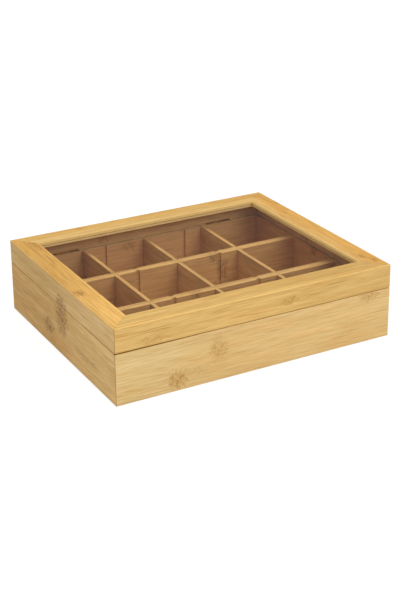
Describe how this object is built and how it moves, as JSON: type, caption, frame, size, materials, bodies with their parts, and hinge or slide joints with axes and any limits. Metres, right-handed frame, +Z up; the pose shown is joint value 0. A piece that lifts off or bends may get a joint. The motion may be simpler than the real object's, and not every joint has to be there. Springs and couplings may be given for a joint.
{
  "type": "tea bag organizer box",
  "caption": "Low rectangular wooden box with a hinged, glazed lid and a grid of open compartments with lift-out partitions",
  "frame": {"origin": "centre of the underside, on the surface that the box stands on", "axes": "+X to the right along the long front, +Y to the back where the hinges are, +Z up"},
  "size_m": [0.29, 0.2411, 0.074],
  "materials": {
    "bamboo_board": "satin lacquer",
    "bamboo_divider": "satin lacquer",
    "bamboo_floor": "satin lacquer",
    "pane": "clear, polished",
    "hinge_brass": "dull brass plate",
    "screw_brass": "bright brass plate"
  },
  "bodies": {
    "base": {"base_front_wall": "bamboo_board", "base_back_wall": "bamboo_board", "base_left_wall": "bamboo_board", "base_right_wall": "bamboo_board", "base_floor": "bamboo_floor", "front_divider": "bamboo_divider", "rear_divider": "bamboo_divider", "left_hinge_base_leaf": "hinge_brass", "left_hinge_pin": "hinge_brass", "right_hinge_base_leaf": "hinge_brass", "right_hinge_pin": "hinge_brass", "base_hinge_screws": "screw_brass"},
    "lid": {"lid_front_rail": "bamboo_board", "lid_back_rail": "bamboo_board", "lid_left_rail": "bamboo_board", "lid_right_rail": "bamboo_board", "lid_pane": "pane", "left_hinge_lid_leaf": "hinge_brass", "right_hinge_lid_leaf": "hinge_brass", "lid_hinge_screws": "screw_brass"},
    "partition_front_left": {"partition_front_left": "bamboo_divider"},
    "partition_front_centre": {"partition_front_centre": "bamboo_divider"},
    "partition_front_right": {"partition_front_right": "bamboo_divider"},
    "partition_middle_left": {"partition_middle_left": "bamboo_divider"},
    "partition_middle_centre": {"partition_middle_centre": "bamboo_divider"},
    "partition_middle_right": {"partition_middle_right": "bamboo_divider"},
    "partition_rear_left": {"partition_rear_left": "bamboo_divider"},
    "partition_rear_centre": {"partition_rear_centre": "bamboo_divider"},
    "partition_rear_right": {"partition_rear_right": "bamboo_divider"}
  },
  "joints": [
    {"name": "lid_hinge", "type": "hinge", "parent": "base", "child": "lid", "pos_m": [0, 0.11936, 0.05025], "axis": [-1, 0, 0], "range_deg": [0, 98]},
    {"name": "lift_front_left", "type": "slide", "parent": "base", "child": "partition_front_left", "axis": [0, 0, 1], "range_m": [0, 0.016]},
    {"name": "lift_front_centre", "type": "slide", "parent": "base", "child": "partition_front_centre", "axis": [0, 0, 1], "range_m": [0, 0.016]},
    {"name": "lift_front_right", "type": "slide", "parent": "base", "child": "partition_front_right", "axis": [0, 0, 1], "range_m": [0, 0.016]},
    {"name": "lift_middle_left", "type": "slide", "parent": "base", "child": "partition_middle_left", "axis": [0, 0, 1], "range_m": [0, 0.016]},
    {"name": "lift_middle_centre", "type": "slide", "parent": "base", "child": "partition_middle_centre", "axis": [0, 0, 1], "range_m": [0, 0.016]},
    {"name": "lift_middle_right", "type": "slide", "parent": "base", "child": "partition_middle_right", "axis": [0, 0, 1], "range_m": [0, 0.016]},
    {"name": "lift_rear_left", "type": "slide", "parent": "base", "child": "partition_rear_left", "axis": [0, 0, 1], "range_m": [0, 0.016]},
    {"name": "lift_rear_centre", "type": "slide", "parent": "base", "child": "partition_rear_centre", "axis": [0, 0, 1], "range_m": [0, 0.016]},
    {"name": "lift_rear_right", "type": "slide", "parent": "base", "child": "partition_rear_right", "axis": [0, 0, 1], "range_m": [0, 0.016]}
  ]
}
